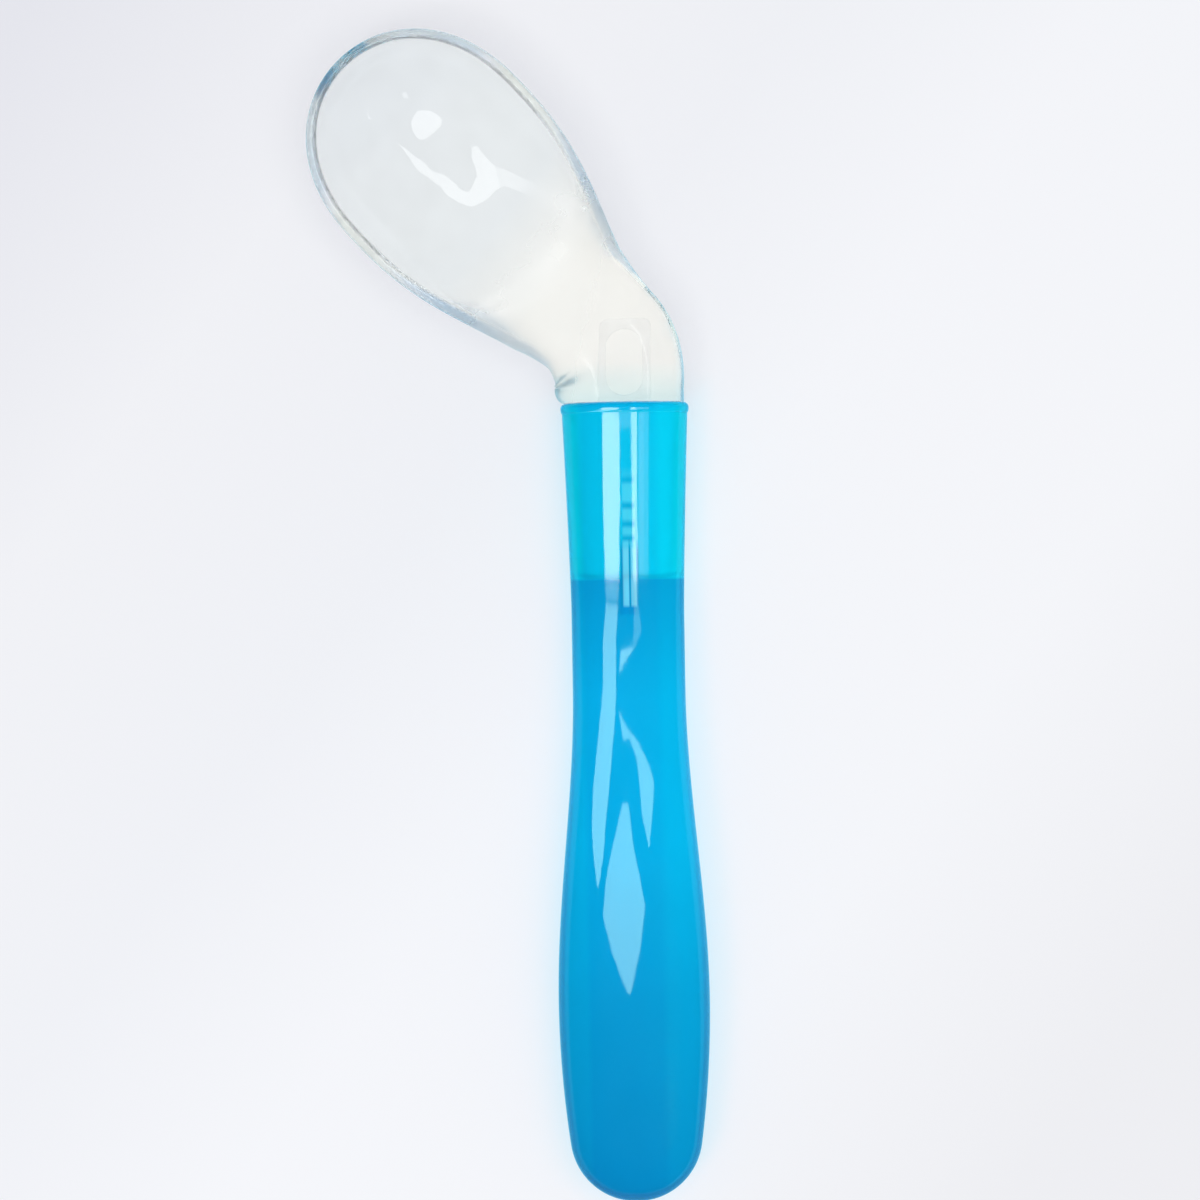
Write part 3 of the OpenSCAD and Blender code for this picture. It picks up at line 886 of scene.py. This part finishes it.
def make_table():
    """A pale table with painted shade, a little darker towards the top left and bottom right as the camera
    sees it.

    Half of what it shows is its own even light. In the gloss it is blue, which keeps the handle's
    edges blue, and through clear pieces it is evenly lit.
    """
    mesh = bmesh.new()
    bmesh.ops.create_grid(mesh, x_segments=1, y_segments=1, size=TABLE_HALF)
    data = bpy.data.meshes.new("table")
    mesh.to_mesh(data)
    mesh.free()
    table = bpy.data.objects.new("table", data)
    bpy.context.scene.collection.objects.link(table)
    material, tree, surface = shader("pale table", Base_Color=(0.92, 0.92, 0.94, 1), Roughness=0.6)
    # Painted shade: darker towards two corners, in the table's lit colour and in its own light.
    shade = ramp(tree, share_along(tree, SHADE_LINE, -SHADE_REACH, SHADE_REACH), (
        (0.03, (0.785, 0.79, 0.84, 1)),
        (0.23, (0.87, 0.875, 0.905, 1)),
        (0.42, (0.86, 0.87, 0.905, 1)),
        (0.57, (0.9, 0.908, 0.938, 1)),
        (0.77, (0.9, 0.907, 0.934, 1)),
        (0.97, (0.844, 0.846, 0.872, 1)),
    ))
    tree.links.new(shade, surface.inputs["Base Color"])
    own = tree.nodes.new("ShaderNodeEmission")
    tree.links.new(shade, own.inputs["Color"])
    path = tree.nodes.new("ShaderNodeLightPath")
    part = tree.nodes.new("ShaderNodeMath")
    part.operation = "MULTIPLY"
    part.inputs[1].default_value = TABLE_OWN_LIGHT
    tree.links.new(path.outputs["Is Camera Ray"], part.inputs[0])
    shown = surface.outputs[0]
    for share, light in (
        (part.outputs[0], own),
        (path.outputs["Is Glossy Ray"], even_light(tree, (0.25, 0.75, 0.95, 1))),
        (path.outputs["Is Transmission Ray"], even_light(tree, (0.99, 0.985, 0.97, 1))),
    ):
        both = tree.nodes.new("ShaderNodeMixShader")
        tree.links.new(share, both.inputs[0])
        tree.links.new(shown, both.inputs[1])
        tree.links.new(light.outputs[0], both.inputs[2])
        shown = both.outputs[0]
    tree.links.new(shown, tree.nodes["Material Output"].inputs["Surface"])
    table.data.materials.append(material)
    return table


table = make_table()


# Light
def only(name, pieces):
    """A collection of just these pieces, for the light linking of lamps and cards."""
    group = bpy.data.collections.new(name)
    for piece in pieces:
        group.objects.link(piece)
    return group


def lamp(name, place, size, power, lights, shadows):
    """A soft lamp that nothing shows. It lights some pieces, and only some pieces shade it."""
    light = bpy.data.lights.new(name, "AREA")
    light.shape = "RECTANGLE"
    light.size, light.size_y = size
    light.energy = power
    holder = bpy.data.objects.new(name, light)
    holder.location = place
    holder.rotation_euler = Vector(place).to_track_quat("Z", "Y").to_euler()
    holder.visible_glossy = False
    holder.visible_transmission = False
    bpy.context.scene.collection.objects.link(holder)
    holder.light_linking.receiver_collection = only(name + "_lights", lights)
    holder.light_linking.blocker_collection = only(name + "_shadows", shadows)


ROUND_THE_HANDLE = (table, head, core)
SPOON = (handle, head, core)
lamp("sky_light", (0.15, -0.15, 1.3), (1.3, 1.3), 12.5, ROUND_THE_HANDLE, SPOON)
lamp("left_light", (-0.5, -0.45, 1.1), (0.3, 0.3), 3.0, ROUND_THE_HANDLE, SPOON)
lamp("handle_sky_light", (0.15, -0.15, 1.3), (1.3, 1.3), 12.5, (handle,), (handle,))
lamp("handle_right_light", (0.6, -0.3, 1.0), (0.35, 0.35), 3.0, (handle,), (handle,))


# Camera: straight above, as in the photograph
PHOTO_SIDE = 1200
PHOTO_SCALE = 8.0 / MM
MOUTH_IN_PHOTO = Vector((624.4, 403.0))
ROLL = math.radians(0.95)
CAMERA_HEIGHT = 0.62
SENSOR = 36.0
NEAREST_SEEN = 0.01
PHOTO_RIGHT = Vector((math.cos(ROLL), -math.sin(ROLL), 0))
PHOTO_UP = Vector((math.sin(ROLL), math.cos(ROLL), 0))


def from_middle(x, y):
    """How far a pixel of the photograph lies from its middle, at the height of the handle's mouth."""
    return (PHOTO_RIGHT * (x - PHOTO_SIDE / 2) - PHOTO_UP * (y - PHOTO_SIDE / 2)) / PHOTO_SCALE


DOWN_FROM_CAMERA = Vector((0, 0, -CAMERA_HEIGHT))
EYE = Vector((AXIS_X, MOUTH_Y, AXIS_Z)) - from_middle(*MOUTH_IN_PHOTO) - DOWN_FROM_CAMERA


def make_camera():
    data = bpy.data.cameras.new("camera")
    data.sensor_width = SENSOR
    data.lens = SENSOR * CAMERA_HEIGHT / (PHOTO_SIDE / PHOTO_SCALE)
    data.clip_start = NEAREST_SEEN
    camera = bpy.data.objects.new("camera", data)
    camera.matrix_world = Matrix.Translation(EYE) @ Matrix((
        (PHOTO_RIGHT.x, PHOTO_UP.x, 0, 0), (PHOTO_RIGHT.y, PHOTO_UP.y, 0, 0), (0, 0, 1, 0), (0, 0, 0, 1),
    ))
    bpy.context.scene.collection.objects.link(camera)
    bpy.context.scene.camera = camera


make_camera()


# Cards over the spoon, for its gloss to show
def skin(piece):
    """A piece's faces, for the camera's rays to meet."""
    return BVHTree.FromPolygons(
        [vert.co for vert in piece.data.vertices],
        [face.vertices for face in piece.data.polygons],
    )


skins = {piece.name: skin(piece) for piece in (handle, head)}


def mirrored(piece, pixel, height):
    """The place at a height that the photograph's camera sees mirrored in a piece at this pixel."""
    sight = from_middle(*pixel) + DOWN_FROM_CAMERA
    meets, _, face, _ = skins[piece.name].ray_cast(EYE, sight)
    corners = [piece.data.vertices[k] for k in piece.data.polygons[face].vertices]
    shares = poly_3d_calc([corner.co for corner in corners], meets)
    normal = sum((corner.normal * share for corner, share in zip(corners, shares)), Vector())
    glance = sight.reflect(normal)
    return meets + glance * ((height - meets.z) / glance.z)


def gloss_card(name, piece, height, strength, outline, colour=WHITE):
    """A level card over the spoon, such as a window, whose light only one piece's gloss shows.

    The outline is that of the reflection on the piece, in pixels of the photograph, and the card's
    corners lie where the piece mirrors the camera's rays to.
    """
    mesh = bmesh.new()
    corners = [mesh.verts.new(mirrored(piece, pixel, height)) for pixel in outline]
    edges = [mesh.edges.new((corners[k - 1], corners[k])) for k in range(len(corners))]
    bmesh.ops.triangle_fill(mesh, use_beauty=True, use_dissolve=False, edges=edges)
    data = bpy.data.meshes.new(name)
    mesh.to_mesh(data)
    mesh.free()
    card = bpy.data.objects.new(name, data)
    bpy.context.scene.collection.objects.link(card)
    glow = bpy.data.materials.new(name)
    glow.use_nodes = True
    tree = glow.node_tree
    tree.nodes.remove(tree.nodes["Principled BSDF"])
    light = tree.nodes.new("ShaderNodeEmission")
    light.inputs["Color"].default_value = colour
    light.inputs["Strength"].default_value = strength
    tree.links.new(light.outputs[0], tree.nodes["Material Output"].inputs["Surface"])
    data.materials.append(glow)
    card.visible_camera = False
    card.visible_diffuse = False
    card.visible_transmission = False
    card.visible_volume_scatter = False
    card.visible_shadow = False
    card.light_linking.receiver_collection = only(name, (piece,))


# The handle's reflections, outlined: a window with its curtain, and what lies below
WINDOW = (
    (602, 407.7), (619, 407.4), (620, 500), (619, 540), (619, 580), (605, 579), (604, 540), (603, 500),
)
WINDOW_EDGE = ((631, 407.2), (637, 407.1), (637, 500), (638, 580), (633, 580))
WINDOW_TOP = ((619.2, 407.4), (631, 407.2), (631, 428), (619.2, 428))
CURTAIN = ((638.5, 407.1), (644, 407), (644, 500), (644, 575), (638.5, 575), (638.5, 500))
CURTAIN_EDGE = ((644, 407), (649, 406.9), (648.5, 500), (648.5, 575), (644, 575), (644, 500))
WINDOW_SILL = ((605, 584), (619, 584), (618, 601), (606, 598))
SILL_EDGE = ((633, 580), (638, 580), (638, 605), (634, 605))
WALL = (
    (606, 603), (618, 605), (616, 640), (616, 690), (615, 720), (612, 750), (609, 790), (606, 820),
    (603, 860), (598, 890), (594, 860), (592, 825), (593, 790), (597, 750), (600, 720), (603, 690),
    (603, 640),
)
LEAF = ((634, 605), (638, 605), (641.6, 630), (632, 652), (633, 645), (634, 620))
LEAF_TIP = ((632, 652), (619, 675), (621, 650), (633, 645))
DOOR = (
    (619, 710), (630, 732), (645, 755), (654, 780), (653, 805), (649, 848), (642, 815), (640, 790),
    (637, 760), (630, 740), (623, 740),
)
LAMP_SHADE = (
    (623, 803), (628, 803), (634, 850), (645, 905), (640, 950), (630, 995), (615, 960), (603, 915),
    (606, 880), (614, 840),
)
LOW_CARD = 60 * MM
SKY_GREEN = (0.62, 1.0, 0.78, 1)
gloss_card("window", handle, LOW_CARD, 9.0, WINDOW)
gloss_card("window_edge", handle, LOW_CARD, 8.0, WINDOW_EDGE)
gloss_card("window_top", handle, LOW_CARD, 1.5, WINDOW_TOP)
gloss_card("curtain", handle, LOW_CARD, 2.2, CURTAIN)
gloss_card("curtain_edge", handle, LOW_CARD, 1.3, CURTAIN_EDGE)
gloss_card("window_sill", handle, LOW_CARD, 4.0, WINDOW_SILL, SKY_GREEN)
gloss_card("sill_edge", handle, LOW_CARD, 1.8, SILL_EDGE)
gloss_card("wall", handle, LOW_CARD, 6.8, WALL, SKY_GREEN)
gloss_card("leaf", handle, LOW_CARD, 2.6, LEAF, SKY_GREEN)
gloss_card("leaf_tip", handle, LOW_CARD, 7.5, LEAF_TIP, SKY_GREEN)
gloss_card("door", handle, LOW_CARD, 6.2, DOOR, SKY_GREEN)
gloss_card("lamp_shade", handle, LOW_CARD, 6.4, LAMP_SHADE, SKY_GREEN)

# The head's, outlined too: a round lamp and the broken line of the window's frame
ROUND_LAMP = (
    (411, 124), (413, 117), (418, 111), (428, 110), (437, 114), (442, 120), (441, 126), (434, 132),
    (426, 139), (418, 139), (413, 132),
)
WINDOW_FRAME = (
    (400, 145), (406, 153), (412, 162), (418, 171), (428, 177), (440, 186), (447, 195), (456, 201),
    (464, 205), (471, 207), (479, 204), (488, 199), (493, 192), (499, 188), (495, 166), (487, 158),
    (480, 150), (478, 146), (471, 146), (471, 158), (476, 168), (477, 176), (473, 185), (468, 192),
    (461, 190), (455, 183), (448, 177), (441, 173), (432, 171), (425, 163), (416, 157), (404, 147),
)
WINDOW_CORNER = (
    (499, 188), (504, 186), (520, 191), (538, 199), (541, 186), (530, 181), (518, 176), (504, 169),
    (495, 166),
)
NECK_PATCH = ((600, 399), (599, 390), (597, 386), (593.5, 384), (596, 396))
NECK_LINE = (
    (629.5, 324.5), (638.5, 335), (644, 350), (647.5, 374), (647.5, 400), (648.5, 400), (648.5, 374),
    (645.3, 349), (639, 332), (629.5, 322),
)
BOWL_CARD = 40 * MM
gloss_card("round_lamp", head, BOWL_CARD, 4.2, ROUND_LAMP)
gloss_card("window_frame", head, BOWL_CARD, 4.2, WINDOW_FRAME)
gloss_card("window_corner", head, BOWL_CARD, 2.6, WINDOW_CORNER)
gloss_card("neck_patch", head, BOWL_CARD, 3.0, NECK_PATCH)
gloss_card("neck_line", head, BOWL_CARD, 4.0, NECK_LINE)


# World
AHEAD = (-0.6, 0.8, 0.0)
AHEAD_REACH = 0.6
ROOM_STRENGTH = 0.92
STRENGTH_FOR = (("Is Glossy Ray", 0.05), ("Is Transmission Ray", 1.08), ("Diffuse Depth", 0.35))


def make_world():
    """A pale room that is dark in the gloss, so that only the cards show there.

    Clear pieces show it by direction: creamy straight up, and bluer ahead of the bowl and behind it.
    """
    world = bpy.data.worlds.new("studio")
    world.use_nodes = True
    tree = world.node_tree
    back = tree.nodes["Background"]
    path = tree.nodes.new("ShaderNodeLightPath")
    strength = None
    for ray, value in STRENGTH_FOR:
        choice = tree.nodes.new("ShaderNodeMix")
        choice.data_type = "FLOAT"
        choice.inputs["A"].default_value = ROOM_STRENGTH
        choice.inputs["B"].default_value = value
        tree.links.new(path.outputs[ray], choice.inputs["Factor"])
        if strength:
            tree.links.new(strength, choice.inputs["A"])
        strength = choice.outputs["Result"]
    room = ramp(tree, share_along(tree, AHEAD, -AHEAD_REACH, AHEAD_REACH, "Generated"), (
        (0.0, (0.66, 0.78, 0.87, 1)),
        (0.12, (0.7, 0.81, 0.9, 1)),
        (0.22, (0.93, 0.94, 1.0, 1)),
        (0.38, (1.0, 1.0, 0.92, 1)),
        (0.66, (1.0, 1.0, 0.95, 1)),
        (0.77, (0.8, 0.88, 0.97, 1)),
        (0.92, (0.4, 0.59, 0.77, 1)),
    ))
    shown = tree.nodes.new("ShaderNodeMix")
    shown.data_type = "RGBA"
    shown.inputs["A"].default_value = (0.95, 0.965, 1.0, 1)
    tree.links.new(path.outputs["Is Transmission Ray"], shown.inputs["Factor"])
    tree.links.new(room, shown.inputs["B"])
    tree.links.new(shown.outputs["Result"], back.inputs["Color"])
    tree.links.new(strength, back.inputs["Strength"])
    bpy.context.scene.world = world


make_world()

BOUNCES = 32
bpy.context.scene.view_settings.view_transform = "Standard"
bpy.context.scene.cycles.max_bounces = BOUNCES
bpy.context.scene.cycles.glossy_bounces = BOUNCES
bpy.context.scene.cycles.transmission_bounces = BOUNCES
